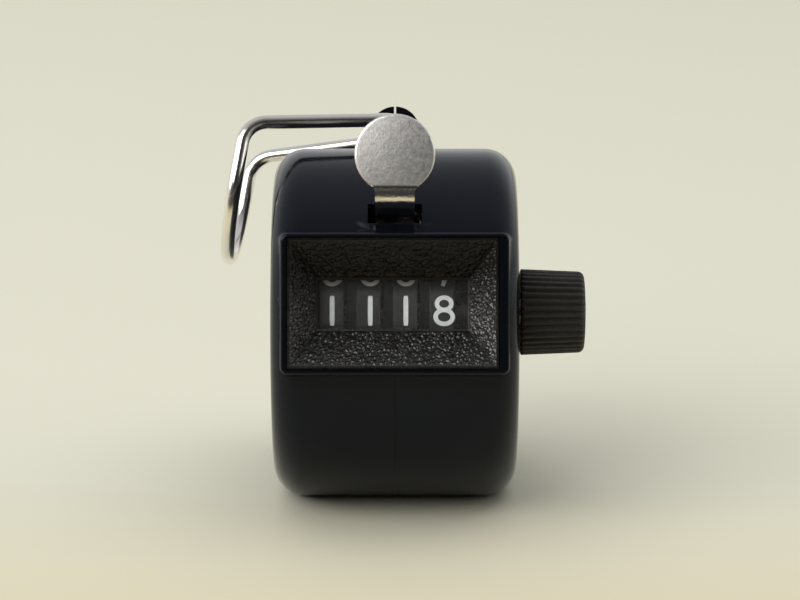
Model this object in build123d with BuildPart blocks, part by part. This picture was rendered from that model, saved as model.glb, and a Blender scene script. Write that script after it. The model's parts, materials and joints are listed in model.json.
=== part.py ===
"""Hand tally counter: two-shell case, four number wheels, thumb lever, finger ring and reset knob.

The wheel shaft runs along X, with the knob on +X. The window looks towards -Y and tilts up by
FACE_TILT. The origin is on the parting plane, in the middle of the flat that the case stands on.
Side views are drawn on the side plane, whose first axis points back (away from the window), whose
second axis points up along the window, and whose origin is the centre of the round case.
"""
from build123d import *
import os
from math import cos, radians, sin, sqrt

# ---- Case ----
FACE_TILT = 15.0
CASE_RADIUS = 22.5
CASE_WIDTH = 31.1
CASE_EDGE_ROUND = 4.0
WALL = 1.6
POST_BITE = 0.3
SEAM_WIDTH, SEAM_DEPTH = 0.18, 0.18
BASE_FLAT_LENGTH = 10.5

# ---- Window boss, bezel and lens (measured forward and up from the case centre) ----
BOSS_FRONT = 23.7
BOSS_WIDTH = 28.2
BOSS_BOTTOM, BOSS_TOP = -6.35, 11.1
BOSS_DEPTH = 8.0
BOSS_DRAFT = 6.0
BEZEL_X = -0.25
BEZEL_WIDTH = 26.2
BEZEL_BOTTOM, BEZEL_TOP = -5.65, 10.6
BEZEL_BORDER = 0.35
BEZEL_DEPTH = 4.8
BEZEL_RECESS = 0.1
BEZEL_GAP = 0.04
BEZEL_LAND = 1.0
OPENING_WIDTH, OPENING_HEIGHT = 18.7, 6.1
OPENING_UP = 2.3
LENS_THICKNESS = 0.9

# ---- Number wheels ----
WHEEL_BACK, WHEEL_UP = -9.3, 1.33
WHEEL_RADIUS = 8.0
WHEEL_PITCH = 4.6
WHEEL_WIDTH = 3.1
FIRST_WHEEL_X = -7.9
RATCHET_WIDTH = 1.2
RATCHET_TEETH = 10
RATCHET_TIP, RATCHET_ROOT = 6.4, 5.3
DOG_POST_RADIUS, DOG_LEAF_RADIUS = 5.4, 4.35
SHAFT_RADIUS = 1.6
SHAFT_LEFT_END = -13.4
RUNNING_FIT = 0.05

# ---- Mechanism frame ----
PLATE_INNER_X = 11.4
PLATE_THICKNESS = 1.0
PLATE_HUB_RADIUS = 4.5
ROD_RADIUS = 1.2
ROD_SEAT_RADIUS = 2.2
ROD_SEAT_DEPTH = 0.9
ROD_CENTRES = [(3.5, 11.0), (2.0, -9.5), (-12.5, -10.0)]

# ---- Lever, from its pivot just behind the slot ----
PIVOT = (-14.6, 11.76)
PIVOT_PIN_RADIUS = 0.8
PIVOT_EYE_RADIUS = 1.7
LEVER_THICKNESS = 1.0
LEVER_WIDTH = 4.9
PAD_RADIUS = 5.0
PAD_UP = 20.9
PAD_FRONT = 22.0
PAD_EDGE_ROUND = 0.35
PAD_DOME = 0.25
NECK_ROUND = 0.8
BEND_UP = 17.2
BEND_RADIUS = 3.5
BEND_ANGLE = 65.0
SLOT_WIDTH, SLOT_HEIGHT = 6.8, 3.1
SLOT_ANGLE = 37.4
ARM_THICKNESS = 0.9
PAWL_PIVOT = (-5.0, 14.2)
PAWL_PIN_RADIUS = 0.6
PRESS_GAP = 0.02
FINGER_WIDTH = 0.9

# ---- Finger ring and its lug ----
LUG_ANGLE = 11.0
RING_PIVOT_RADIUS = 25.7
LUG_RADIUS = 3.15
LUG_DOME_BELOW_PIVOT = 1.0
LUG_HALF_LENGTH = 3.9
LUG_SLIT = 0.27
WIRE_RADIUS = 0.9
RING_ARM_LENGTH = 19.2
RING_ARM_DROP = 4.5
RING_HALF_SPREAD = 10.0
RING_LEG_LEAN = 9.6
RING_LEG_LENGTH = 15.6

# ---- Reset knob ----
KNOB_INNER_X, KNOB_OUTER_X = 15.9, 24.2
KNOB_BASE_RADIUS, KNOB_TIP_RADIUS = 5.48, 5.18
KNOB_RIBS = 36
KNOB_RIB_DEPTH = 0.3

# ---- Case screws ----
SCREW_CENTRES = [(13.0, 8.0), (12.0, -11.0), (-4.0, -16.6)]
SCREW_RADIUS = 1.1
SCREW_HEAD_RADIUS, SCREW_HEAD_HEIGHT = 2.1, 1.3
SCREW_RECESS_DEPTH = 2.6
SCREW_POST_RADIUS = 2.9

# ---- Derived places ----
case_up = sqrt(CASE_RADIUS**2 - (BASE_FLAT_LENGTH / 2) ** 2)
case_centre = (0, 0, case_up)
tilt = radians(FACE_TILT)
side = Plane(origin=case_centre, x_dir=(0, cos(tilt), -sin(tilt)), z_dir=(1, 0, 0))
face = Plane(origin=case_centre, x_dir=(1, 0, 0), z_dir=(0, -cos(tilt), sin(tilt)))
lug_lean = radians(FACE_TILT + LUG_ANGLE)
lug = Plane(origin=case_centre, x_dir=(1, 0, 0), z_dir=(0, -cos(lug_lean), sin(lug_lean)))
slot_turn = radians(FACE_TILT + SLOT_ANGLE)
slot = Plane(origin=case_centre, x_dir=(1, 0, 0), z_dir=(0, -cos(slot_turn), sin(slot_turn)))
half_width = CASE_WIDTH / 2
inner_half_width = half_width - WALL
plate_outer_x = PLATE_INNER_X + PLATE_THICKNESS
bezel_middle = (BEZEL_BOTTOM + BEZEL_TOP) / 2
bezel_height = BEZEL_TOP - BEZEL_BOTTOM
bezel_front = BOSS_FRONT - BEZEL_RECESS
throat_front = bezel_front - BEZEL_DEPTH
wheel_centre = (WHEEL_BACK, WHEEL_UP)
os.makedirs("parts", exist_ok=True)


def save(piece, label):
    """Label a finished piece and write it as the node of that name."""
    piece.part.label = label
    export_step(piece.part, f"parts/{label}.step")


def side_point(back, up, x=0.0):
    """Point in the model's frame of a place on the side plane."""
    return side.offset(x).from_local_coords((back, up, 0))


# ---- Whole case, split into its two shells below ----
with BuildPart() as cavity:
    with BuildSketch(side.offset(-inner_half_width)):
        Circle(CASE_RADIUS - WALL)
    extrude(amount=2 * inner_half_width)
    fillet(cavity.edges().filter_by(GeomType.CIRCLE), CASE_EDGE_ROUND - WALL)

with BuildPart() as whole_case:
    with BuildSketch(side.offset(-half_width)):
        Circle(CASE_RADIUS)
    extrude(amount=CASE_WIDTH)
    fillet(whole_case.edges().filter_by(GeomType.CIRCLE), CASE_EDGE_ROUND)
    # Fine groove where the two shells meet.
    with BuildSketch(side.offset(-SEAM_WIDTH / 2)):
        Circle(CASE_RADIUS + 1)
        Circle(CASE_RADIUS - SEAM_DEPTH, mode=Mode.SUBTRACT)
    extrude(amount=SEAM_WIDTH, mode=Mode.SUBTRACT)
    # Ring lug: a rounded ear across the top of the case.
    with BuildSketch(lug):
        dome_up = RING_PIVOT_RADIUS - LUG_DOME_BELOW_PIVOT
        with Locations((0, dome_up)):
            Circle(LUG_RADIUS)
            Rectangle(2 * LUG_RADIUS, 6, align=(Align.CENTER, Align.MAX))
    extrude(amount=LUG_HALF_LENGTH, both=True)
    # Window boss, drafted towards the front, with soft edges.
    with BuildPart(mode=Mode.PRIVATE) as boss:
        with BuildSketch(face.offset(BOSS_FRONT)):
            with Locations((0, (BOSS_BOTTOM + BOSS_TOP) / 2)):
                RectangleRounded(BOSS_WIDTH, BOSS_TOP - BOSS_BOTTOM, 0.9)
        extrude(amount=-BOSS_DEPTH, taper=-BOSS_DRAFT)
        fillet(boss.faces().sort_by(Axis(case_centre, face.z_dir))[-1].edges(), 0.45)
    add(boss.part)
    add(cavity.part, mode=Mode.SUBTRACT)
    # Pocket for the bezel.
    with BuildSketch(face.offset(BOSS_FRONT - BOSS_DEPTH - 1)):
        with Locations((BEZEL_X, bezel_middle)):
            Rectangle(BEZEL_WIDTH + 2 * BEZEL_GAP, bezel_height + 2 * BEZEL_GAP)
    extrude(amount=BOSS_DEPTH + 2, mode=Mode.SUBTRACT)
    # Lever slot.
    with BuildSketch(slot.offset(CASE_RADIUS - 5)):
        Rectangle(SLOT_WIDTH, SLOT_HEIGHT)
    extrude(amount=8, mode=Mode.SUBTRACT)
    # Bore for the ring and the slit that separates the two halves of the lug.
    with BuildSketch(lug):
        with Locations((0, RING_PIVOT_RADIUS)):
            Circle(WIRE_RADIUS + RUNNING_FIT)
    extrude(amount=LUG_HALF_LENGTH + 1, both=True, mode=Mode.SUBTRACT)
    with BuildSketch(lug):
        with Locations((0, CASE_RADIUS + 0.2)):
            Rectangle(LUG_SLIT, 8, align=(Align.CENTER, Align.MIN))
    extrude(amount=LUG_HALF_LENGTH + 1, both=True, mode=Mode.SUBTRACT)
    # Flat that the case stands on.
    with Locations((0, 0, 0)):
        Box(CASE_WIDTH + 2, 20, 5, align=(Align.CENTER, Align.CENTER, Align.MAX), mode=Mode.SUBTRACT)
    # Screw posts across the case, and seats for the frame rods.
    with BuildSketch(side.offset(-inner_half_width - POST_BITE)):
        with Locations(*SCREW_CENTRES):
            Circle(SCREW_POST_RADIUS)
    extrude(amount=2 * (inner_half_width + POST_BITE))
    seat_x = inner_half_width + POST_BITE
    for way in (-1, 1):
        with BuildSketch(side.offset(way * seat_x)):
            with Locations(*ROD_CENTRES):
                Circle(ROD_SEAT_RADIUS)
        extrude(amount=way * (plate_outer_x - seat_x))

with BuildPart() as case_left:
    add(whole_case.part)
    split(bisect_by=Plane.YZ, keep=Keep.BOTTOM)
    with BuildSketch(side.offset(-half_width - 1)):
        with Locations(*SCREW_CENTRES):
            Circle(SCREW_HEAD_RADIUS + 0.2)
    extrude(amount=1 + SCREW_RECESS_DEPTH, mode=Mode.SUBTRACT)
    with BuildSketch(side.offset(-half_width)):
        with Locations(*SCREW_CENTRES):
            Circle(SCREW_RADIUS + 0.15)
    extrude(amount=half_width + 1, mode=Mode.SUBTRACT)
    with BuildSketch(side.offset(-plate_outer_x)):
        with Locations(*ROD_CENTRES):
            Circle(ROD_RADIUS + 0.2)
    extrude(amount=-ROD_SEAT_DEPTH, mode=Mode.SUBTRACT)
save(case_left, "case_left")

with BuildPart() as case_right:
    add(whole_case.part)
    split(bisect_by=Plane.YZ, keep=Keep.TOP)
    with BuildSketch(side.offset(-1)):
        with Locations(*SCREW_CENTRES):
            Circle(SCREW_RADIUS + PRESS_GAP)
    extrude(amount=11, mode=Mode.SUBTRACT)
    with BuildSketch(side.offset(inner_half_width - 1)):
        with Locations(wheel_centre):
            Circle(SHAFT_RADIUS + 0.15)
    extrude(amount=WALL + 2, mode=Mode.SUBTRACT)
    with BuildSketch(side.offset(plate_outer_x)):
        with Locations(*ROD_CENTRES):
            Circle(ROD_RADIUS + 0.2)
    extrude(amount=ROD_SEAT_DEPTH, mode=Mode.SUBTRACT)
save(case_right, "case_right")

# ---- Case screws: pan heads with a cross recess, in recesses on the left side ----
with BuildPart() as case_screws:
    head_x = -half_width + SCREW_RECESS_DEPTH
    with BuildSketch(side.offset(head_x)):
        with Locations(*SCREW_CENTRES):
            Circle(SCREW_HEAD_RADIUS)
    extrude(amount=-SCREW_HEAD_HEIGHT)
    head_rims = case_screws.edges().filter_by(GeomType.CIRCLE).group_by(Axis.X)[0]
    fillet(head_rims, 0.5)
    with BuildSketch(side.offset(head_x)):
        with Locations(*SCREW_CENTRES):
            Circle(SCREW_RADIUS)
    extrude(amount=-head_x + 8.5)
    with BuildSketch(side.offset(head_x - SCREW_HEAD_HEIGHT)):
        with Locations(*SCREW_CENTRES):
            Rectangle(2.2, 0.5)
            Rectangle(0.5, 2.2)
    extrude(amount=0.8, mode=Mode.SUBTRACT)
save(case_screws, "case_screws")

# ---- Window bezel: a hopper with a square rim, and the lens behind it ----
with BuildPart() as window_bezel:
    with BuildSketch(face.offset(bezel_front)):
        with Locations((BEZEL_X, bezel_middle)):
            Rectangle(BEZEL_WIDTH, bezel_height)
    extrude(amount=-0.8)
    for border, grow, mode in ((0, BEZEL_LAND, Mode.ADD), (2 * BEZEL_BORDER, 0, Mode.SUBTRACT)):
        with BuildSketch(face.offset(bezel_front)):
            with Locations((BEZEL_X, bezel_middle)):
                Rectangle(BEZEL_WIDTH - border, bezel_height - border)
        with BuildSketch(face.offset(throat_front)):
            with Locations((BEZEL_X, OPENING_UP)):
                Rectangle(OPENING_WIDTH + 2 * grow, OPENING_HEIGHT + 2 * grow)
        loft(mode=mode)
save(window_bezel, "window_bezel")

with BuildPart() as window_lens:
    with BuildSketch(face.offset(throat_front)):
        with Locations((BEZEL_X, OPENING_UP)):
            Rectangle(OPENING_WIDTH + 2 * BEZEL_LAND, OPENING_HEIGHT + 2 * BEZEL_LAND)
    extrude(amount=-LENS_THICKNESS)
save(window_lens, "window_lens")

# ---- Mechanism frame: two plates joined by three shouldered rods ----
for plate_label, plate_start in (("frame_plate_left", -plate_outer_x), ("frame_plate_right", PLATE_INNER_X)):
    with BuildPart() as frame_plate:
        with BuildSketch(side.offset(plate_start)):
            with Locations(wheel_centre):
                Circle(PLATE_HUB_RADIUS)
            with Locations(PIVOT):
                Circle(PIVOT_EYE_RADIUS)
            with Locations(*ROD_CENTRES):
                Circle(2.4)
            make_hull()
        extrude(amount=PLATE_THICKNESS)
        with BuildSketch(side.offset(plate_start)):
            with Locations(wheel_centre):
                Circle(SHAFT_RADIUS + RUNNING_FIT)
            with Locations(PIVOT):
                Circle(PIVOT_PIN_RADIUS + PRESS_GAP)
            with Locations(*ROD_CENTRES):
                Circle(ROD_RADIUS + PRESS_GAP)
            with Locations((-2.5, 7.5), (-3.5, -6.5)):
                Circle(1.6)
        extrude(amount=PLATE_THICKNESS, mode=Mode.SUBTRACT)
    save(frame_plate, plate_label)

with BuildPart() as frame_rods:
    with BuildSketch(side.offset(-PLATE_INNER_X)):
        with Locations(*ROD_CENTRES):
            Circle(ROD_RADIUS + 0.4)
    extrude(amount=2 * PLATE_INNER_X)
    with BuildSketch(side.offset(-plate_outer_x - 0.6)):
        with Locations(*ROD_CENTRES):
            Circle(ROD_RADIUS)
    extrude(amount=2 * plate_outer_x + 1.2)
save(frame_rods, "frame_rods")

# ---- Wheel shaft with its keyway, snap rings and spacer ----
with BuildPart() as wheel_shaft:
    with BuildSketch(side.offset(SHAFT_LEFT_END)):
        with Locations(wheel_centre):
            Circle(SHAFT_RADIUS)
    extrude(amount=KNOB_OUTER_X - 2 - SHAFT_LEFT_END)
    chamfer(wheel_shaft.edges().filter_by(GeomType.CIRCLE), 0.25)
    # Keyway that the reset dogs drop into.
    with BuildSketch(side.offset(-PLATE_INNER_X + 0.4)):
        with Locations((WHEEL_BACK, WHEEL_UP + SHAFT_RADIUS)):
            Rectangle(0.7, 1.0)
    extrude(amount=2 * PLATE_INNER_X - 4, mode=Mode.SUBTRACT)
    # Grooves for the snap rings.
    for groove_x in (-plate_outer_x - 0.55, plate_outer_x + 0.05):
        with BuildSketch(side.offset(groove_x)):
            with Locations(wheel_centre):
                Circle(SHAFT_RADIUS + 1)
                Circle(SHAFT_RADIUS - 0.4, mode=Mode.SUBTRACT)
        extrude(amount=0.5, mode=Mode.SUBTRACT)
save(wheel_shaft, "wheel_shaft")

with BuildPart() as shaft_clips:
    for clip_x in (-plate_outer_x - 0.5, plate_outer_x + 0.1):
        with BuildSketch(side.offset(clip_x)):
            with Locations(wheel_centre):
                Circle(SHAFT_RADIUS + 1.1)
                Circle(SHAFT_RADIUS - 0.4, mode=Mode.SUBTRACT)
            with Locations((WHEEL_BACK, WHEEL_UP - SHAFT_RADIUS)):
                Rectangle(1.9, 3.6, mode=Mode.SUBTRACT)
        extrude(amount=0.4)
save(shaft_clips, "shaft_clips")

with BuildPart() as wheel_spacer:
    spacer_x = FIRST_WHEEL_X + 3 * WHEEL_PITCH + WHEEL_WIDTH / 2 + 0.15
    with BuildSketch(side.offset(spacer_x)):
        with Locations(wheel_centre):
            Circle(2.6)
            Circle(SHAFT_RADIUS + RUNNING_FIT, mode=Mode.SUBTRACT)
    extrude(amount=PLATE_INNER_X - spacer_x)
save(wheel_spacer, "wheel_spacer")

# ---- One ratchet tooth: a steep front and a long slope down to the next tooth ----
with BuildSketch() as tooth:
    with BuildLine():
        tooth_step = radians(360 / RATCHET_TEETH)
        root_end = (RATCHET_ROOT * cos(tooth_step), RATCHET_ROOT * sin(tooth_step))
        Polyline((0, 0), (RATCHET_TIP, 0), root_end, close=True)
    make_face()

# ---- Number wheels, each with a ten-tooth ratchet on its left and a reset dog in its right ----
for place, place_name in enumerate(("thousands", "hundreds", "tens", "units")):
    wheel_left = FIRST_WHEEL_X + place * WHEEL_PITCH - WHEEL_WIDTH / 2
    web_right = wheel_left + 1.1
    with BuildPart() as number_wheel:
        with BuildSketch(side.offset(wheel_left)):
            with Locations(wheel_centre):
                Circle(WHEEL_RADIUS)
        extrude(amount=WHEEL_WIDTH)
        rims = number_wheel.edges().filter_by(GeomType.CIRCLE)
        fillet(rims, 0.15)
        with BuildSketch(side.offset(web_right)):
            with Locations(wheel_centre):
                Circle(WHEEL_RADIUS - 1.2)
                Circle(SHAFT_RADIUS + 0.9, mode=Mode.SUBTRACT)
        extrude(amount=WHEEL_WIDTH, mode=Mode.SUBTRACT)
        # Post that the reset dog is formed around.
        with BuildSketch(side.offset(wheel_left)):
            with Locations((WHEEL_BACK, WHEEL_UP + DOG_POST_RADIUS)):
                Circle(0.6)
        extrude(amount=WHEEL_WIDTH - 0.3)
        with BuildSketch(side.offset(wheel_left - RATCHET_WIDTH)):
            with Locations(wheel_centre):
                with PolarLocations(0, RATCHET_TEETH):
                    add(tooth.sketch)
        extrude(amount=RATCHET_WIDTH)
        with BuildSketch(side.offset(wheel_left - RATCHET_WIDTH)):
            with Locations(wheel_centre):
                Circle(SHAFT_RADIUS + RUNNING_FIT)
        extrude(amount=RATCHET_WIDTH + WHEEL_WIDTH, mode=Mode.SUBTRACT)
    save(number_wheel, f"wheel_{place_name}")

    with BuildPart() as reset_dog:
        with BuildSketch(side.offset(web_right)):
            with Locations((WHEEL_BACK, WHEEL_UP + DOG_POST_RADIUS)):
                Circle(1.1)
                Circle(0.65, mode=Mode.SUBTRACT)
            with BuildLine() as leaf:
                CenterArc(wheel_centre, DOG_LEAF_RADIUS, 90, 180)
            trace(leaf.line, 0.4)
            with BuildLine() as nose:
                Line(leaf.line @ 1, (WHEEL_BACK, WHEEL_UP - SHAFT_RADIUS - 1.1))
            trace(nose.line, 0.5)
        extrude(amount=1.2)
    save(reset_dog, f"reset_dog_{place_name}")

# ---- Thumb lever: round pad, bent neck, pivot eye and two arms that carry the pawl ----
with BuildPart() as pad_dome:
    with BuildSketch(side):
        with BuildLine():
            rim_place = (-PAD_FRONT, PAD_UP + PAD_RADIUS - PAD_EDGE_ROUND)
            over_rim = (-PAD_FRONT - PAD_DOME, PAD_UP + (PAD_RADIUS - PAD_EDGE_ROUND) / 2)
            crown = (-PAD_FRONT - PAD_DOME, PAD_UP)
            Bezier(rim_place, over_rim, crown)
            Polyline(crown, (-PAD_FRONT + 0.3, PAD_UP), (-PAD_FRONT + 0.3, rim_place[1]), rim_place)
        make_face()
    revolve(axis=Axis(side_point(0, PAD_UP), face.z_dir))
    split(bisect_by=Plane(origin=side_point(0, BEND_UP), z_dir=face.y_dir), keep=Keep.TOP)

with BuildPart() as lever_outline:
    with BuildSketch(face.offset(-PIVOT[0])):
        with Locations((0, PAD_UP)):
            Circle(PAD_RADIUS)
    extrude(amount=PAD_FRONT + PIVOT[0])
    front_rim = lever_outline.edges().filter_by(GeomType.CIRCLE).sort_by(Axis(case_centre, face.z_dir))[-1]
    fillet(front_rim, PAD_EDGE_ROUND)
    with BuildSketch(face.offset(-PIVOT[0])) as neck_sketch:
        with Locations((0, PAD_UP)):
            Circle(PAD_RADIUS)
            Rectangle(LEVER_WIDTH, PAD_UP - PIVOT[1] + 1, align=(Align.CENTER, Align.MAX))
        fillet(neck_sketch.vertices().group_by(Axis.Y)[1], NECK_ROUND)
        with Locations((0, PAD_UP - 0.8 * PAD_RADIUS)):
            Rectangle(2 * PAD_RADIUS, 2 * PAD_RADIUS, align=(Align.CENTER, Align.MAX), mode=Mode.INTERSECT)
    extrude(amount=PAD_FRONT + PIVOT[0] + 1)

with BuildPart() as thumb_lever:
    strip_back = -PAD_FRONT + LEVER_THICKNESS / 2
    with BuildSketch(side.offset(-PAD_RADIUS)):
        with BuildLine() as strip:
            neck = Line((strip_back, PAD_UP + PAD_RADIUS + 0.5), (strip_back, BEND_UP))
            bend = JernArc(neck @ 1, neck % 1, BEND_RADIUS, BEND_ANGLE)
            Line(bend @ 1, PIVOT)
        trace(strip.line, LEVER_THICKNESS)
    extrude(amount=2 * PAD_RADIUS)
    add(lever_outline.part, mode=Mode.INTERSECT)
    add(pad_dome.part)
    with BuildSketch(side.offset(-LEVER_WIDTH / 2)):
        with Locations(PIVOT):
            Circle(PIVOT_EYE_RADIUS)
    extrude(amount=LEVER_WIDTH)
    for arm_x in (-LEVER_WIDTH / 2, LEVER_WIDTH / 2 - ARM_THICKNESS):
        with BuildSketch(side.offset(arm_x)):
            with Locations(PIVOT):
                Circle(1.5)
            with Locations(PAWL_PIVOT):
                Circle(1.3)
            make_hull()
        extrude(amount=ARM_THICKNESS)
    with BuildSketch(side.offset(-LEVER_WIDTH / 2)):
        with Locations(PIVOT):
            Circle(PIVOT_PIN_RADIUS + RUNNING_FIT)
        with Locations(PAWL_PIVOT):
            Circle(PAWL_PIN_RADIUS + PRESS_GAP)
    extrude(amount=LEVER_WIDTH, mode=Mode.SUBTRACT)
save(thumb_lever, "thumb_lever")

with BuildPart() as lever_pivot_pin:
    with BuildSketch(side.offset(-plate_outer_x)):
        with Locations(PIVOT):
            Circle(PIVOT_PIN_RADIUS)
    extrude(amount=2 * plate_outer_x)
    for head_start, head_reach in ((-plate_outer_x, -0.5), (plate_outer_x, 0.5)):
        with BuildSketch(side.offset(head_start)):
            with Locations(PIVOT):
                Circle(PIVOT_PIN_RADIUS + 0.5)
        extrude(amount=head_reach)
save(lever_pivot_pin, "lever_pivot_pin")

with BuildPart() as lever_return_spring:
    coil_start = side_point(*PIVOT, x=3.2)
    with BuildLine() as coil:
        Helix(pitch=0.55, height=3.3, radius=1.35, center=coil_start, direction=(1, 0, 0))
    with BuildSketch(Plane(origin=coil.line @ 0, z_dir=coil.line % 0)):
        Circle(0.22)
    sweep(path=coil.line)
save(lever_return_spring, "lever_return_spring")

# ---- Drive pawl: a comb on the lever's arms, with one finger for each ratchet ----
with BuildPart() as pawl_pin:
    with BuildSketch(side.offset(-LEVER_WIDTH / 2 - 0.3)):
        with Locations(PAWL_PIVOT):
            Circle(PAWL_PIN_RADIUS)
    extrude(amount=LEVER_WIDTH + 0.6)
save(pawl_pin, "pawl_pin")

with BuildPart() as drive_pawl:
    hub_half = LEVER_WIDTH / 2 - ARM_THICKNESS - 0.1
    bar_middle = (PAWL_PIVOT[0] + 1.6, PAWL_PIVOT[1] - 2.4)
    tip_radius = RATCHET_TIP + 0.8
    tip_middle = (WHEEL_BACK + tip_radius * sin(radians(45)), WHEEL_UP + tip_radius * cos(radians(45)))
    first_ratchet_x = FIRST_WHEEL_X - WHEEL_WIDTH / 2 - RATCHET_WIDTH + 0.1
    with BuildSketch(side.offset(-hub_half)):
        with Locations(PAWL_PIVOT):
            Circle(1.2)
        with Locations(bar_middle):
            Circle(0.4)
        make_hull()
    extrude(amount=2 * hub_half)
    with BuildSketch(side.offset(first_ratchet_x)):
        with Locations(bar_middle):
            Circle(0.6)
    extrude(amount=3 * WHEEL_PITCH + FINGER_WIDTH)
    for place in range(4):
        with BuildSketch(side.offset(first_ratchet_x + place * WHEEL_PITCH)):
            with Locations(bar_middle):
                Circle(0.45)
            with Locations(tip_middle):
                Circle(0.4)
            make_hull()
        extrude(amount=FINGER_WIDTH)
    with BuildSketch(side.offset(-hub_half)):
        with Locations(PAWL_PIVOT):
            Circle(PAWL_PIN_RADIUS + RUNNING_FIT)
    extrude(amount=2 * hub_half, mode=Mode.SUBTRACT)
save(drive_pawl, "drive_pawl")

with BuildPart() as pawl_spring:
    spring_start = side_point(*PAWL_PIVOT, x=LEVER_WIDTH / 2 + 0.35)
    with BuildLine() as pawl_coil:
        Helix(pitch=0.4, height=1.6, radius=1.0, center=spring_start, direction=(1, 0, 0))
    with BuildSketch(Plane(origin=pawl_coil.line @ 0, z_dir=pawl_coil.line % 0)):
        Circle(0.15)
    sweep(path=pawl_coil.line)
save(pawl_spring, "pawl_spring")

# ---- Detent spring: a leaf comb rolled around the lower rod ----
with BuildPart() as detent_spring:
    rod_back, rod_up = ROD_CENTRES[1]
    leaf_tip = (WHEEL_BACK + 6.9 * sin(radians(135)), WHEEL_UP + 6.9 * cos(radians(135)))
    with BuildSketch(side.offset(first_ratchet_x)):
        with Locations((rod_back, rod_up)):
            Circle(ROD_RADIUS + 0.9)
            Circle(ROD_RADIUS + 0.42, mode=Mode.SUBTRACT)
    extrude(amount=3 * WHEEL_PITCH + FINGER_WIDTH)
    for place in range(4):
        with BuildSketch(side.offset(first_ratchet_x + place * WHEEL_PITCH)):
            with BuildLine() as finger:
                Line((rod_back - 0.6, rod_up + ROD_RADIUS + 0.55), leaf_tip)
            trace(finger.line, 0.3)
        extrude(amount=FINGER_WIDTH)
save(detent_spring, "detent_spring")

# ---- Finger ring: one wire, bent through the lug, along two arms and round a loop ----
ring_pivot = lug.from_local_coords((0, RING_PIVOT_RADIUS, 0))
drop = radians(RING_ARM_DROP)
lean = radians(RING_LEG_LEAN)
along = Vector(0, cos(lug_lean), -sin(lug_lean))
outward = Vector(0, sin(lug_lean), cos(lug_lean))
arm_way = Vector(-1, 0, 0) * cos(drop) - outward * sin(drop)
leg_way = Vector(-1, 0, 0) * sin(lean) - outward * cos(lean)
elbow = ring_pivot + arm_way * RING_ARM_LENGTH
bottom = elbow + leg_way * RING_LEG_LENGTH
near_half = [
    ring_pivot - along * 0.4,
    ring_pivot - along * (LUG_HALF_LENGTH + 1.45),
    elbow - along * RING_HALF_SPREAD,
    bottom - along * RING_HALF_SPREAD,
]
far_half = [point + along * (2 * (ring_pivot - point).dot(along)) for point in reversed(near_half)]
with BuildPart() as finger_ring:
    with BuildLine() as ring_route:
        FilletPolyline(*near_half, *far_half, radius=[1.6, 3.4, 9.7, 9.7, 3.4, 1.6])
    with BuildSketch(Plane(origin=ring_route.line @ 0, z_dir=ring_route.line % 0)):
        Circle(WIRE_RADIUS)
    sweep(path=ring_route.line)
save(finger_ring, "finger_ring")

# ---- Reset knob: a tapered grip with straight ribs and a domed end, on the shaft's end ----
with BuildPart() as ribbed_taper:
    for ribs_x, crest in ((KNOB_INNER_X, KNOB_BASE_RADIUS), (KNOB_OUTER_X + 1, KNOB_TIP_RADIUS)):
        rib_points = []
        for corner in range(4 * KNOB_RIBS):
            around = radians(corner * 90 / KNOB_RIBS)
            reach = crest - (KNOB_RIB_DEPTH if corner % 4 > 1 else 0)
            rib_points.append((reach * cos(around), reach * sin(around)))
        with BuildSketch(side.offset(ribs_x)):
            with Locations(wheel_centre):
                Polygon(*rib_points, align=None)
    loft(ruled=True)

with BuildPart() as reset_knob:
    knob_section = Plane(origin=side_point(*wheel_centre), x_dir=(1, 0, 0), z_dir=(0, -1, 0))
    with BuildSketch(knob_section) as knob_profile:
        with BuildLine():
            end_corner = (KNOB_OUTER_X - 0.15, KNOB_BASE_RADIUS)
            Polyline((KNOB_OUTER_X, 0), (KNOB_INNER_X, 0), (KNOB_INNER_X, KNOB_BASE_RADIUS), end_corner)
            ThreePointArc(end_corner, (KNOB_OUTER_X - 0.04, KNOB_BASE_RADIUS / 2), (KNOB_OUTER_X, 0))
        make_face()
        fillet(knob_profile.vertices().sort_by(Axis.X)[-2:].sort_by(Axis.Z)[-1], 0.9)
    revolve(axis=Axis(side_point(*wheel_centre), (1, 0, 0)))
    add(ribbed_taper.part, mode=Mode.INTERSECT)
    with BuildSketch(side.offset(KNOB_INNER_X)):
        with Locations(wheel_centre):
            Circle(SHAFT_RADIUS + 0.01)
    extrude(amount=KNOB_OUTER_X - 2 - KNOB_INNER_X, mode=Mode.SUBTRACT)
save(reset_knob, "reset_knob")
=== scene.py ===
"""Looks of the hand tally counter: camera, soft studio light, materials and the finely moulded pieces."""
import json
import math
import bpy
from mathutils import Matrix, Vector, noise


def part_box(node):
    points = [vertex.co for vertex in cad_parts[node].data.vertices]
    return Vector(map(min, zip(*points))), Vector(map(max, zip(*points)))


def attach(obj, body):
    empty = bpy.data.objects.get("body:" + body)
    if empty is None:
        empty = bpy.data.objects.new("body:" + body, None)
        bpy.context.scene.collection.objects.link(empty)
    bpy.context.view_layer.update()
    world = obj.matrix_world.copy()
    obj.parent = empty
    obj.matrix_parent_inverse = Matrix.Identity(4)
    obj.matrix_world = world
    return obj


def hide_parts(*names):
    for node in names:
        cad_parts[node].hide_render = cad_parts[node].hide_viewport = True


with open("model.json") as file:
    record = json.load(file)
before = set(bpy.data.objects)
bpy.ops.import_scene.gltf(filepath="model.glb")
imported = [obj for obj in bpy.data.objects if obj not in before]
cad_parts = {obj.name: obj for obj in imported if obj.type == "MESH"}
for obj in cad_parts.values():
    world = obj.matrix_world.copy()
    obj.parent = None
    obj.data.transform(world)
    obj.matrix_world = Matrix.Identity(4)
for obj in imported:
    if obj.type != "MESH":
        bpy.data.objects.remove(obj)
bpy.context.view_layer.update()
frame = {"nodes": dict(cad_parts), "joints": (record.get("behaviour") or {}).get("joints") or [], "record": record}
MM = 0.001
nodes = frame["nodes"]
joints = {joint["name"]: joint for joint in frame["joints"]}
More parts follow.
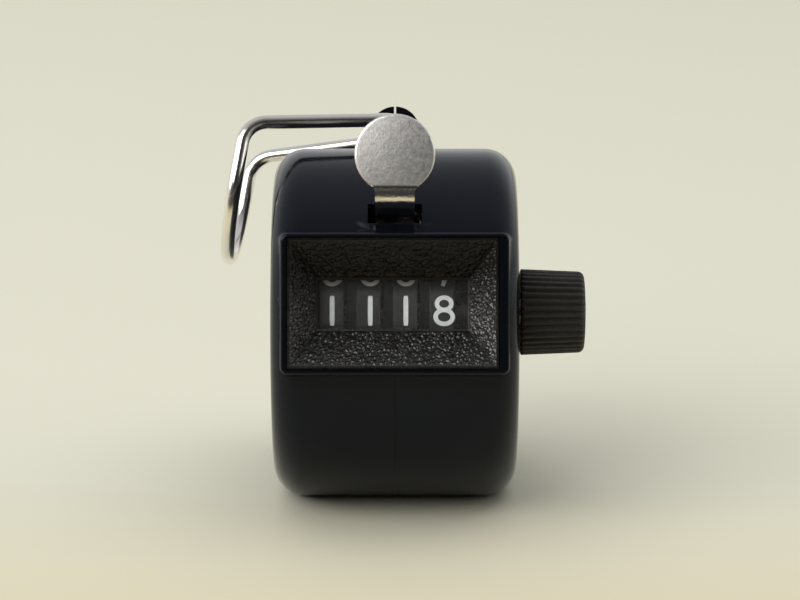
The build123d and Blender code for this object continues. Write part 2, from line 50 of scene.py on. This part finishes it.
mounts = {mount["name"]: mount for mount in frame["record"]["mounts"]}

# ---- Directions and places, from the frame ----
FACE_TILT = math.radians(15.0)
out_way = Vector((0, -math.cos(FACE_TILT), math.sin(FACE_TILT)))
up_way = Vector((0, math.sin(FACE_TILT), math.cos(FACE_TILT)))
right_way = Vector((1, 0, 0))
case_centre = Vector((0, 0, mounts["left_side"]["pos_m"][2]))
wheel_centre = Vector(joints["units_count"]["pos_m"])
WHEEL_NAMES = ("thousands", "hundreds", "tens", "units")


def place(x, up, out):
    """Point at x to the right, up along the window and out of it, in millimetres from the case centre."""
    return case_centre + (right_way * x + up_way * up + out_way * out) * MM


def in_face(point):
    """The same three millimetre values of a point."""
    offset = (point - case_centre) / MM
    return offset.x, offset.dot(up_way), offset.dot(out_way)


# ---- Camera ----
CAMERA_DISTANCE = 0.45
CAMERA_LENS, SENSOR = 155.9, 36.0
AIM_X, AIM_UP = 0.64, 2.86
camera = bpy.data.objects.new("camera", bpy.data.cameras.new("camera"))
bpy.context.scene.collection.objects.link(camera)
camera.data.lens = CAMERA_LENS
camera.data.sensor_width = SENSOR
camera.data.clip_start, camera.data.clip_end = 0.01, 20.0
camera.location = place(AIM_X, AIM_UP, CAMERA_DISTANCE / MM)
camera.rotation_euler = (-out_way).to_track_quat("-Z", "Y").to_euler()
bpy.context.scene.camera = camera

# ---- Light ----
bpy.context.scene.view_settings.view_transform = "Standard"
bpy.context.scene.view_settings.look = "None"
SIDE_SKY, TOP_SKY, FRONT_SKY = (0.82, 0.825, 0.83), (0.54, 0.545, 0.57), 0.04


def studio_world():
    """Bright surroundings, dimmer overhead and nearly black behind the camera."""
    made = bpy.data.worlds.new("studio")
    made.use_nodes = True
    tree = made.node_tree
    way = tree.nodes.new("ShaderNodeSeparateXYZ")
    tree.links.new(tree.nodes.new("ShaderNodeTexCoord").outputs["Generated"], way.inputs["Vector"])
    height = tree.nodes.new("ShaderNodeValToRGB")
    height.color_ramp.interpolation = "EASE"
    height.color_ramp.elements[0].position = 0.1
    height.color_ramp.elements[0].color = (*SIDE_SKY, 1)
    height.color_ramp.elements[1].position = 0.72
    height.color_ramp.elements[1].color = (*TOP_SKY, 1)
    depth = tree.nodes.new("ShaderNodeMapRange")
    for socket, number in (("From Min", -0.75), ("From Max", 0.1), ("To Min", FRONT_SKY), ("To Max", 1.0)):
        depth.inputs[socket].default_value = number
    background = tree.nodes["Background"]
    tree.links.new(way.outputs["Z"], height.inputs["Fac"])
    tree.links.new(way.outputs["Y"], depth.inputs["Value"])
    tree.links.new(height.outputs["Color"], background.inputs["Color"])
    tree.links.new(depth.outputs["Result"], background.inputs["Strength"])
    bpy.context.scene.world = made


studio_world()


def soft_box(name, location, target, width, height, power, colour, mirrored=True):
    """A rectangular studio lamp that faces its target, and may be kept out of mirror reflections."""
    lamp = bpy.data.objects.new(name, bpy.data.lights.new(name, "AREA"))
    bpy.context.scene.collection.objects.link(lamp)
    lamp.data.shape = "RECTANGLE"
    lamp.data.size, lamp.data.size_y = width, height
    lamp.data.energy = power
    lamp.data.color = colour
    lamp.visible_glossy = mirrored
    lamp.location = location
    lamp.rotation_euler = (Vector(target) - Vector(location)).to_track_quat("-Z", "Y").to_euler()


def from_way(turn, lift, distance):
    """Place of a lamp, turned to the right of the camera's side and lifted, both in degrees."""
    turn, lift = math.radians(turn), math.radians(lift)
    flat = distance * math.cos(lift)
    return (flat * math.sin(turn), -flat * math.cos(turn), distance * math.sin(lift))


middle = (0, 0, 0.025)
LAMP_DISTANCE = 1.4
LOW_LAMP_COLOUR = (1.0, 0.99, 0.98)
soft_box("key_light", from_way(-45, 39, LAMP_DISTANCE), middle, 1.2, 1.0, 12.3, (1.0, 0.99, 0.975))
soft_box("low_left_light", from_way(-78, 22, LAMP_DISTANCE), middle, 0.9, 0.6, 5.5, LOW_LAMP_COLOUR)
soft_box("low_right_light", from_way(80, 24, LAMP_DISTANCE), middle, 0.8, 0.6, 1.8, LOW_LAMP_COLOUR)
soft_box("top_light", (0.1, 0.15, 1.6), middle, 2.4, 2.0, 22.0, (1.0, 0.995, 0.99), mirrored=False)

# ---- Materials ----
# Distances are measured up the window's plane from the case's centre.
PAD_FOOT_UP, PAD_FOOT_BLEND = 17.1 * MM, 0.25 * MM
# Painted sheen on the bezel: its specular level falls from the low distance to the high one.
PAINTED_SHEEN_LOW_UP, PAINTED_SHEEN_HIGH_UP = 0.5 * MM, 6.5 * MM
# Places along Y where the floor's painted shade, darker and warmer, stops being full and where its plain pale back
# begins.
FLOOR_FULL_SHADE_Y, FLOOR_NO_SHADE_Y = -0.085, 0.0


class Look:
    """A node material with a Principled shader, and short helpers for its procedural detail."""

    def __init__(self, name, colour, roughness, metallic=0.0, **sockets):
        self.material = bpy.data.materials.new(name)
        self.material.use_nodes = True
        self.tree = self.material.node_tree
        self.shader = self.tree.nodes["Principled BSDF"]
        self.shader.inputs["Base Color"].default_value = (*colour, 1)
        self.shader.inputs["Roughness"].default_value = roughness
        self.shader.inputs["Metallic"].default_value = metallic
        for socket, value in sockets.items():
            self.shader.inputs[socket.replace("_", " ")].default_value = value
        self.place = self.tree.nodes.new("ShaderNodeTexCoord").outputs["Object"]
        self.last_bump = None

    def node(self, kind, **settings):
        """A new node of this kind, with its own settings."""
        made = self.tree.nodes.new(kind)
        for name, value in settings.items():
            setattr(made, name, value)
        return made

    def link(self, source, target):
        """Feed one socket from another."""
        self.tree.links.new(source, target)

    def stretched(self, scale):
        """Object position, stretched along the axes by the scale."""
        mapping = self.node("ShaderNodeMapping")
        mapping.inputs["Scale"].default_value = scale
        self.link(self.place, mapping.inputs["Vector"])
        return mapping.outputs["Vector"]

    def noise(self, scale, detail=4.0, rough=0.55, stretch=(1, 1, 1)):
        """Smooth noise from 0 to 1, with about this many waves to a metre."""
        made = self.node("ShaderNodeTexNoise")
        made.inputs["Scale"].default_value = scale
        made.inputs["Detail"].default_value = detail
        made.inputs["Roughness"].default_value = rough
        self.link(self.stretched(stretch), made.inputs["Vector"])
        return made.outputs["Fac"]

    def ramp(self, value, low, high, out_low, out_high):
        """The value's span from low to high, mapped evenly to the outer span and held at its ends."""
        made = self.node("ShaderNodeMapRange")
        numbers = {"From Min": low, "From Max": high, "To Min": out_low, "To Max": out_high}
        for socket, number in numbers.items():
            made.inputs[socket].default_value = number
        self.link(value, made.inputs["Value"])
        return made.outputs["Result"]

    def height_along(self, way):
        """Distance along a direction from the case's centre, in metres."""
        offset = self.node("ShaderNodeVectorMath", operation="SUBTRACT")
        offset.inputs[1].default_value = case_centre
        self.link(self.place, offset.inputs[0])
        along = self.node("ShaderNodeVectorMath", operation="DOT_PRODUCT")
        along.inputs[1].default_value = way
        self.link(offset.outputs["Vector"], along.inputs[0])
        return along.outputs["Value"]

    def blend(self, share, number, value):
        """The number where the share is 0, turning into the value where it is 1."""
        made = self.node("ShaderNodeMix")
        self.link(share, made.inputs["Factor"])
        made.inputs[2].default_value = number
        self.link(value, made.inputs[3])
        return made.outputs[0]

    def roughness(self, value, low, high):
        """Roughness between two ends, led by a noise."""
        self.link(self.ramp(value, 0.3, 0.7, low, high), self.shader.inputs["Roughness"])

    def colours(self, value, first, second, low=0.35, high=0.65):
        """Base colour from the first to the second as the value goes from low to high."""
        made = self.node("ShaderNodeValToRGB")
        made.color_ramp.elements[0].position = low
        made.color_ramp.elements[0].color = (*first, 1)
        made.color_ramp.elements[1].position = high
        made.color_ramp.elements[1].color = (*second, 1)
        self.link(value, made.inputs["Fac"])
        self.link(made.outputs["Color"], self.shader.inputs["Base Color"])

    def bump(self, value, depth_mm, strength):
        """Surface relief of this depth, laid over any earlier relief."""
        made = self.node("ShaderNodeBump")
        made.inputs["Distance"].default_value = depth_mm * MM
        made.inputs["Strength"].default_value = strength
        self.link(value, made.inputs["Height"])
        if self.last_bump:
            self.link(self.last_bump, made.inputs["Normal"])
        self.last_bump = made.outputs["Normal"]
        self.link(self.last_bump, self.shader.inputs["Normal"])


def case_look():
    """Gloss black ABS with a faint blue cast, slight sink waves and fine handling marks."""
    look = Look("case_gloss", (0.003, 0.0036, 0.0055), 0.2, Specular_IOR_Level=0.2)
    look.shader.inputs["Specular Tint"].default_value = (0.76, 0.84, 1.0, 1)
    look.roughness(look.noise(420, 6, 0.6), 0.09, 0.15)
    look.colours(look.noise(90, 3), (0.0027, 0.0033, 0.005), (0.0034, 0.0041, 0.0062))
    look.bump(look.noise(150, 2), 0.02, 0.35)
    look.bump(look.noise(5200, 2), 0.002, 0.35)
    return look.material


def bezel_look():
    """Satin black-brown plastic over the moulded grain, with a painted sheen: more reflective towards its lower
    edge and less towards the top, for a lit lower slope and a shaded upper one.
    """
    look = Look("bezel_grain", (0.0055, 0.0048, 0.004), 0.3, Specular_IOR_Level=0.42)
    look.roughness(look.noise(1500, 4), 0.24, 0.36)
    look.colours(look.noise(700, 3), (0.0042, 0.0037, 0.003), (0.0068, 0.006, 0.005))
    look.bump(look.noise(6000, 3), 0.006, 0.5)
    # Painted sheen: the specular level is high at the bottom of the window and low at the top, lighting the lower
    # slope and shading the upper one.
    painted_sheen = look.ramp(look.height_along(up_way), PAINTED_SHEEN_LOW_UP, PAINTED_SHEEN_HIGH_UP, 0.9, 0.27)
    look.link(painted_sheen, look.shader.inputs["Specular IOR Level"])
    return look.material


def knob_look():
    """Matte brown-black plastic with spark-eroded speckle."""
    look = Look("knob_matte", (0.0136, 0.0114, 0.0087), 0.5, Specular_IOR_Level=0.45)
    look.roughness(look.noise(2600, 4), 0.4, 0.62)
    look.colours(look.noise(1800, 4), (0.01, 0.0083, 0.0062), (0.0172, 0.0145, 0.0112))
    look.bump(look.noise(3800, 4, 0.7), 0.03, 0.6)
    return look.material


def wheel_look():
    """Black wheel plastic with fine turned lines round the rim."""
    look = Look("wheel_black", (0.012, 0.0116, 0.0112), 0.42)
    lines = look.noise(60, 3, 0.6, stretch=(90, 1, 1))
    look.roughness(lines, 0.34, 0.5)
    look.colours(lines, (0.009, 0.0087, 0.0083), (0.016, 0.0155, 0.0149))
    look.bump(lines, 0.01, 0.5)
    return look.material


def digit_look():
    """White printing ink, slightly uneven."""
    look = Look("digit_ink", (0.74, 0.77, 0.77), 0.5)
    look.colours(look.noise(1400, 3), (0.69, 0.72, 0.72), (0.79, 0.81, 0.81))
    look.bump(look.noise(3000, 3), 0.004, 0.4)
    return look.material


def blasted_steel_look():
    """Nickel-plated steel, bead blasted to a fine dimpled satin on the thumb pad and smooth below it."""
    look = Look("lever_satin", (0.79, 0.77, 0.74), 0.42, 1.0)
    pad = look.ramp(look.height_along(up_way), PAD_FOOT_UP - PAD_FOOT_BLEND, PAD_FOOT_UP, 0.0, 1.0)
    grit = look.ramp(look.noise(1900, 5, 0.65), 0.3, 0.7, 0.38, 0.5)
    look.link(look.blend(pad, 0.13, grit), look.shader.inputs["Roughness"])
    look.colours(look.noise(2300, 4, 0.6), (0.71, 0.69, 0.66), (0.87, 0.85, 0.82))
    look.bump(look.noise(3600, 2, 0.5), 0.045, 0.45)
    return look.material


def bright_wire_look():
    """Bright plated wire with faint drawing lines and handling scuffs."""
    look = Look("ring_bright", (0.86, 0.82, 0.76), 0.18, 1.0)
    look.roughness(look.noise(500, 5, 0.6), 0.13, 0.23)
    look.colours(look.noise(160, 3), (0.82, 0.78, 0.72), (0.9, 0.86, 0.8))
    look.bump(look.noise(1700, 3), 0.004, 0.3)
    return look.material


def plated_steel_look(name, colour, rough):
    """Zinc-plated sheet and turned parts of the mechanism."""
    look = Look(name, colour, rough, 1.0)
    dark = tuple(part * 0.82 for part in colour)
    look.roughness(look.noise(900, 5), rough - 0.07, rough + 0.1)
    look.colours(look.noise(500, 4), dark, colour)
    look.bump(look.noise(2400, 3, 0.6, stretch=(1, 4, 1)), 0.006, 0.4)
    return look.material


def lens_look():
    """Clear moulded lens with the faintest haze."""
    look = Look("lens_clear", (0.97, 0.98, 0.98), 0.02, Transmission_Weight=0.989, IOR=1.49)
    look.roughness(look.noise(700, 4), 0.0, 0.05)
    look.bump(look.noise(260, 2), 0.002, 0.2)
    return look.material


def floor_look():
    """Plain pale floor with painted shade: darker and warmer towards the camera, for the shade in front of the
    object.
    """
    look = Look("floor_pale", (0.54, 0.532, 0.438), 0.55, Specular_IOR_Level=0.0)
    unshaded_share = look.ramp(look.height_along(Vector((0, 1, 0))), FLOOR_FULL_SHADE_Y, FLOOR_NO_SHADE_Y, 0.0, 1.0)
    # Painted shade: the floor's colour turns darker and warmer in front of the object and on towards the camera.
    look.colours(unshaded_share, (0.51, 0.45, 0.29), (0.545, 0.536, 0.44), 0.0, 1.0)
    look.bump(look.noise(40, 3, 0.5, stretch=(5, 0.6, 1)), 0.05, 0.3)
    return look.material


CASE, BEZEL, KNOB, WHEEL = case_look(), bezel_look(), knob_look(), wheel_look()
INK, SATIN, WIRE, LENS = digit_look(), blasted_steel_look(), bright_wire_look(), lens_look()
FRAME_STEEL = plated_steel_look("frame_zinc", (0.52, 0.52, 0.5), 0.34)
SHAFT_STEEL = plated_steel_look("shaft_turned", (0.6, 0.59, 0.57), 0.25)
SPRING_STEEL = plated_steel_look("spring_steel", (0.42, 0.41, 0.4), 0.3)

slot_looks = {
    "case_plastic": CASE,
    "bezel_plastic": BEZEL,
    "knob_plastic": KNOB,
    "lens": LENS,
    "wheel_plastic": WHEEL,
    "lever_steel": SATIN,
    "ring_steel": WIRE,
    "frame_steel": FRAME_STEEL,
    "shaft_steel": SHAFT_STEEL,
    "spring_steel": SPRING_STEEL,
    "spacer_steel": SPRING_STEEL,
}
for subpart in frame["record"]["subparts"]:
    node = nodes[subpart["node"]]
    node.data.materials.clear()
    node.data.materials.append(slot_looks[subpart["material_slot"]])
nodes["window_lens"].visible_shadow = False

# ---- Floor ----
FLOOR_HALF = 3.0
floor_mesh = bpy.data.meshes.new("floor")
floor_corners = [(x * FLOOR_HALF, y * FLOOR_HALF, 0) for x, y in ((-1, -1), (1, -1), (1, 1), (-1, 1))]
floor_mesh.from_pydata(floor_corners, [], [(0, 1, 2, 3)])
floor = bpy.data.objects.new("floor", floor_mesh)
bpy.context.scene.collection.objects.link(floor)
floor.data.materials.append(floor_look())

# A black card lies in front of the object. Only reflections see it, as they would a table's end.
CARD_NEAR, CARD_FAR, CARD_HALF, CARD_LIFT = -0.087, -1.2, 0.8, 0.0005
card_mesh = bpy.data.meshes.new("front_card")
card_corners = [(-CARD_HALF, CARD_FAR, CARD_LIFT), (CARD_HALF, CARD_FAR, CARD_LIFT),
                (CARD_HALF, CARD_NEAR, CARD_LIFT), (-CARD_HALF, CARD_NEAR, CARD_LIFT)]
card_mesh.from_pydata(card_corners, [], [(0, 1, 2, 3)])
card = bpy.data.objects.new("front_card", card_mesh)
bpy.context.scene.collection.objects.link(card)
card_look = Look("card_black", (0.01, 0.01, 0.01), 0.9)
card.data.materials.append(card_look.material)
card.visible_camera = card.visible_diffuse = card.visible_shadow = card.visible_transmission = False


# ---- Mesh helpers ----
def add_piece(name, points, faces, material, body, smooth=True):
    """A mesh object that rides on a body."""
    mesh = bpy.data.meshes.new(name)
    mesh.from_pydata([tuple(point) for point in points], [], faces)
    mesh.validate()
    if smooth:
        mesh.shade_smooth()
    mesh.materials.append(material)
    piece = bpy.data.objects.new(name, mesh)
    bpy.context.scene.collection.objects.link(piece)
    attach(piece, body)
    return piece


def closed_grid(rows):
    """Faces between equal closed rows of points, one after the other."""
    count = len(rows[0])
    faces = []
    for row in range(len(rows) - 1):
        for step in range(count):
            after = (step + 1) % count
            here, there = row * count, (row + 1) * count
            faces.append((here + step, here + after, there + after, there + step))
    return faces


# ---- White digits, wrapped round each wheel's rim ----
WHEEL_RADIUS, WHEEL_WIDTH = 8.0, 3.1
STROKE, HALF_WIDE, HALF_TALL = 0.56, 0.99, 1.6
BAR_STROKE = 0.6
END_REACH, END_TAPER = 0.9, 0.8
INK_TOP, INK_BOTTOM = 0.02, -0.02
DIGIT_STEP = 2 * math.pi / 10
SHOWN_DIGITS = {"thousands": 1, "hundreds": 1, "tens": 1, "units": 8}
SHOWN_LIFT = math.radians(1.4)
PRINT_SHIFT = {"thousands": 0.07, "hundreds": 0.23, "tens": 0.07, "units": 0.25}


def arc(x, y, wide, tall, start, end, steps=28):
    """Points along part of an ellipse, from one angle in degrees to another."""
    turns = [math.radians(start + (end - start) * step / steps) for step in range(steps + 1)]
    return [(x + wide * math.cos(turn), y + tall * math.sin(turn)) for turn in turns]


def line(*corners, steps=14):
    """Points along straight lines between corners."""
    points = [corners[0]]
    for (x0, y0), (x1, y1) in zip(corners, corners[1:]):
        for step in range(1, steps + 1):
            part = step / steps
            points.append((x0 + (x1 - x0) * part, y0 + (y1 - y0) * part))
    return points


def digit_strokes(digit):
    """Centre lines of a generic numeral's strokes, in millimetres about its middle."""
    wide, tall = HALF_WIDE, HALF_TALL
    six_loop = arc(0, 1.035 - tall, wide, 1.035, 0, 360, 44)
    six_stem = arc(0.75, -0.62, 0.75 + wide, 2.28, 180, 98)
    strokes = {
        0: [arc(0, tall - wide, wide, wide, 0, 180) + arc(0, wide - tall, wide, wide, 180, 360)],
        1: [line((0, tall), (0, -tall))],
        2: [arc(0, tall - 0.95, wide, 0.95, 165, -35) + line((0.2, -0.4), (-wide, -tall)),
            line((-wide, -tall), (wide, -tall))],
        3: [arc(0, 0.83, 0.9, 0.825, 150, -90), arc(0, -0.825, wide, 0.83, 90, -150)],
        4: [line((0.45, -tall), (0.45, tall)), line((0.45, tall), (-wide, -0.7)),
            line((-wide, -0.7), (wide, -0.7))],
        5: [line((0.9, tall), (-0.75, tall)), line((-0.75, tall), (-0.9, 0.15)),
            arc(0, -0.6, wide, 1.055, 138, -150)],
        6: [six_loop, six_stem],
        7: [line((-wide, tall), (wide, tall)), line((wide, tall), (-0.1, -tall))],
        8: [arc(0, 0.875, 0.9, 0.78, 0, 360, 44), arc(0, -0.78, 1.07, 0.875, 0, 360, 44)],
        9: [[(-x, -y) for x, y in six_loop], [(-x, -y) for x, y in six_stem]],
    }
    return strokes[digit]


def ribbon(path, half):
    """Left and right edges of a stroke, with slightly narrowed ends or joined up."""
    joined = math.dist(path[0], path[-1]) < 1e-6
    if joined:
        path = path[:-1]
    else:
        for end, beside in ((0, 1), (-1, -2)):
            reach = math.dist(path[end], path[beside])
            shift = [(a - b) / reach * half * END_REACH for a, b in zip(path[end], path[beside])]
            path[end] = (path[end][0] + shift[0], path[end][1] + shift[1])
    edges = []
    last = len(path) - 1
    for index, (x, y) in enumerate(path):
        before = path[index - 1] if index or joined else path[0]
        after = path[(index + 1) % len(path)] if index < last or joined else path[last]
        ahead = Vector((after[0] - before[0], after[1] - before[1])).normalized()
        taper = END_TAPER if not joined and index in (0, last) else 1.0
        side = Vector((-ahead.y, ahead.x)) * half * taper
        edges.append(((x + side.x, y + side.y), (x - side.x, y - side.y)))
    return edges, joined


def wheel_digits(name):
    """All ten digits of one wheel as one thin raised mesh."""
    rim_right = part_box(f"wheel_{name}")[1].x / MM
    middle_x = rim_right - WHEEL_WIDTH / 2 + PRINT_SHIFT[name]
    points, faces = [], []
    for digit in range(10):
        turn = SHOWN_LIFT - (digit - SHOWN_DIGITS[name]) * DIGIT_STEP
        half = (BAR_STROKE if digit == 1 else STROKE) / 2
        for path in digit_strokes(digit):
            edges, joined = ribbon(path, half)
            first = len(points)
            for left, right in edges:
                section = ((left, INK_BOTTOM), (left, INK_TOP), (right, INK_TOP), (right, INK_BOTTOM))
                for (x, y), height in section:
                    angle = turn + y / WHEEL_RADIUS
                    radial = out_way * math.cos(angle) + up_way * math.sin(angle)
                    offset = right_way * (middle_x + x) + radial * (WHEEL_RADIUS + height)
                    points.append(wheel_centre + offset * MM)
            count = len(edges)
            for index in range(count if joined else count - 1):
                here, there = first + 4 * index, first + 4 * ((index + 1) % count)
                for corner in range(4):
                    after = (corner + 1) % 4
                    faces.append((here + corner, here + after, there + after, there + corner))
            if not joined:
                faces.append(tuple(first + corner for corner in (3, 2, 1, 0)))
                end = first + 4 * (count - 1)
                faces.append(tuple(end + corner for corner in (0, 1, 2, 3)))
    return add_piece(f"digits_{name}", points, faces, INK, name, smooth=False)


for wheel_name in WHEEL_NAMES:
    wheel_digits(wheel_name)

# ---- Window bezel: a hopper with leather grain moulded into its four slopes ----
BEZEL_BOTTOM, BEZEL_TOP, BEZEL_FRONT, BEZEL_DEPTH = -5.65, 10.6, 23.6, 4.8
BEZEL_BORDER, BEZEL_SKIN = 0.35, 1.0
RIM_ROUND, RIM_SKIRT, RIM_WALL = 0.08, 0.8, 1.2
OPENING_WIDTH, OPENING_HEIGHT, OPENING_UP = 18.7, 6.1, 2.3
GRAIN_PITCH, GRAIN_DEPTH, GRAIN_VALLEY = 0.52, 0.24, 0.5
GRAIN_WARP_RATE, GRAIN_WARP = 1.7, 0.28
GRAIN_SWELL_RATE, GRAIN_SWELL = 2.3, 0.25
GRAIN_STEP = 0.115
# The warp takes its offsets from this seed. Without it they follow the clock and the grain changes each run.
GRAIN_SEED = 11
CORNER_FADE, RIM_FADE, THROAT_FADE = 0.3, 0.4, 0.3
SIDE_SHRINK = 0.5
THROAT_BAND, THROAT_LIP, THROAT_LAND = 0.45, 0.16, 0.25


def rectangle(left, right, bottom, top, out, across, upright):
    """Points round a rectangle in the window's plane, evenly spaced on each side."""
    corners = [(left, bottom), (right, bottom), (right, top), (left, top)]
    points = []
    for side in range(4):
        (x0, y0), (x1, y1) = corners[side], corners[(side + 1) % 4]
        steps = upright if side % 2 else across
        for step in range(steps):
            part = step / steps
            points.append((x0 + (x1 - x0) * part, y0 + (y1 - y0) * part, out))
    return points


def fade(value, reach):
    """Smooth rise from 0 to 1 over the reach."""
    part = max(0.0, min(1.0, value / reach))
    return part * part * (3 - 2 * part)


def grain(point):
    """Height from 0 to 1 of the pebbled grain at a point in millimetres."""
    warp = noise.noise_vector(Vector(point) * GRAIN_WARP_RATE) * GRAIN_WARP
    near = noise.voronoi((Vector(point) + warp) / GRAIN_PITCH)[0]
    swell = noise.noise(Vector(point) * GRAIN_SWELL_RATE)
    return fade(near[1] - near[0], GRAIN_VALLEY) * (1 - GRAIN_SWELL + GRAIN_SWELL * swell)


def grained_row(part, rim, throat, sides):
    """One closed row of points over the four slopes, at a share of the way from the rim to the throat."""
    row = []
    for start, steps, slope, length, (inward_x, inward_up) in sides:
        run = math.hypot(slope, BEZEL_DEPTH)
        normal_in, normal_out = BEZEL_DEPTH / run, slope / run
        length_here = length * (1 - part * SIDE_SHRINK)
        down_fade = fade(part * run, RIM_FADE) * fade((1 - part) * run - THROAT_BAND, THROAT_FADE)
        for index in range(steps):
            point_a, point_b = rim[start + index], throat[start + index]
            point = [a + (b - a) * part for a, b in zip(point_a, point_b)]
            along = min(index, steps - index) / steps * length_here
            rise = fade(along, CORNER_FADE) * down_fade * GRAIN_DEPTH * grain(point)
            point[0] += inward_x * normal_in * rise
            point[1] += inward_up * normal_in * rise
            point[2] += normal_out * rise
            row.append(tuple(point))
    return row


def bezel_piece():
    """The grained bezel, as closed rows from the rim down the slopes to the throat and back outside."""
    noise.seed_set(GRAIN_SEED)
    low, high = (in_face(corner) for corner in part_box("window_bezel"))
    left, right = low[0], high[0]
    bottom, top, front, depth = BEZEL_BOTTOM, BEZEL_TOP, BEZEL_FRONT, BEZEL_DEPTH
    middle_x = (left + right) / 2
    opening = (middle_x - OPENING_WIDTH / 2, middle_x + OPENING_WIDTH / 2,
               OPENING_UP - OPENING_HEIGHT / 2, OPENING_UP + OPENING_HEIGHT / 2)
    across = round((right - left) / GRAIN_STEP)
    upright = round((top - bottom) / GRAIN_STEP)
    down = round(math.hypot(depth, depth) / GRAIN_STEP)

    def loop(grow, out, edges=(left, right, bottom, top)):
        x0, x1, y0, y1 = edges
        return rectangle(x0 - grow, x1 + grow, y0 - grow, y1 + grow, out, across, upright)

    rim = loop(-BEZEL_BORDER, front)
    throat = loop(0, front - depth, opening)
    rows = [loop(0, front - RIM_SKIRT), loop(0, front - RIM_ROUND), loop(-RIM_ROUND, front), rim]
    side_slope = (right - left - OPENING_WIDTH) / 2
    bottom_slope = OPENING_UP - OPENING_HEIGHT / 2 - bottom
    top_slope = top - OPENING_UP - OPENING_HEIGHT / 2
    sides = [(0, across, bottom_slope, right - left, (0, 1)),
             (across, upright, side_slope, top - bottom, (-1, 0)),
             (across + upright, across, top_slope, right - left, (0, -1)),
             (2 * across + upright, upright, side_slope, top - bottom, (1, 0))]
    rows += [grained_row(step / down, rim, throat, sides) for step in range(1, down - 2)]
    lip = THROAT_LIP
    lip_section = ((lip, lip * 1.2), (lip * 0.5, lip * 1.3), (0, lip), (-lip * 0.15, lip * 0.4))
    for grow, rise in lip_section:
        rows.append(loop(grow, front - depth + rise, opening))
    last_smooth = len(rows)
    rows += [throat, loop(THROAT_LAND, front - depth, opening), loop(BEZEL_SKIN, front - depth, opening)]
    rows.append(loop(-BEZEL_BORDER, front - RIM_WALL))
    points = [place(*point) for row in rows for point in row]
    faces = closed_grid(rows)
    count, last = len(rows[0]), len(rows) - 1
    for step in range(count):
        after = (step + 1) % count
        faces.append((last * count + step, last * count + after, after, step))
    piece = add_piece("window_bezel_grained", points, faces, BEZEL, "case", smooth=False)
    grain_faces = range(4 * count, last_smooth * count)
    smooth = [index in grain_faces for index in range(len(faces))]
    piece.data.polygons.foreach_set("use_smooth", smooth)
    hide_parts("window_bezel")
    return piece


bezel_piece()

# ---- Reset knob: straight rounded ribs that run out at the domed end ----
KNOB_RIBS, RIB_STEPS, RIB_DEPTH, GROOVE_POWER = 36, 12, 0.32, 1.4
KNOB_END_ROUND, KNOB_DOME = 0.85, 0.18
KNOB_BORE, KNOB_BORE_END, KNOB_TAPER, KNOB_FOOT = 1.62, 2.0, 0.3, 0.12
BODY_STEPS, END_STEPS = 26, 8


def knob_piece():
    """The ribbed knob, as rows of (x, radius, share of the rib's depth) from its bore out to its dome."""
    low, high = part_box("reset_knob")
    inner, outer = low.x / MM, high.x / MM
    base = (high.z - low.z) / 2 / MM
    tip = base - KNOB_TAPER
    foot = inner + KNOB_FOOT
    bore_end = outer - KNOB_BORE_END
    rows = [(bore_end, 0.0, 0), (bore_end, KNOB_BORE, 0), (inner, KNOB_BORE, 0)]
    rows += [(inner, tip, 0), (foot, base, 1)]
    grip_end = outer - KNOB_DOME - KNOB_END_ROUND
    for step in range(1, BODY_STEPS + 1):
        part = step / BODY_STEPS
        rows.append((foot + (grip_end - foot) * part, base + (tip - base) * part, 1))
    for step in range(1, END_STEPS + 1):
        part = step / END_STEPS
        turn = math.radians(90 * part)
        x = grip_end + KNOB_END_ROUND * math.sin(turn)
        rows.append((x, tip - KNOB_END_ROUND * (1 - math.cos(turn)), 1 - part))
    for step in range(1, END_STEPS + 1):
        part = step / END_STEPS
        rows.append((outer - KNOB_DOME * (1 - part) ** 2, (tip - KNOB_END_ROUND) * (1 - part), 0))
    around = KNOB_RIBS * RIB_STEPS
    points = []
    for x, radius, ribbed in rows:
        for step in range(around):
            turn = 2 * math.pi * step / around
            groove = (0.5 - 0.5 * math.cos(turn * KNOB_RIBS)) ** GROOVE_POWER
            reach = max(0.0, radius - RIB_DEPTH * ribbed * groove)
            radial = Vector((0, math.cos(turn), math.sin(turn)))
            points.append(Vector((x * MM, wheel_centre.y, wheel_centre.z)) + radial * reach * MM)
    grid_rows = [points[row * around:(row + 1) * around] for row in range(len(rows))]
    faces = closed_grid(grid_rows)
    piece = add_piece("reset_knob_ribbed", points, faces, KNOB, "reset_shaft")
    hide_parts("reset_knob")
    return piece


knob_piece()
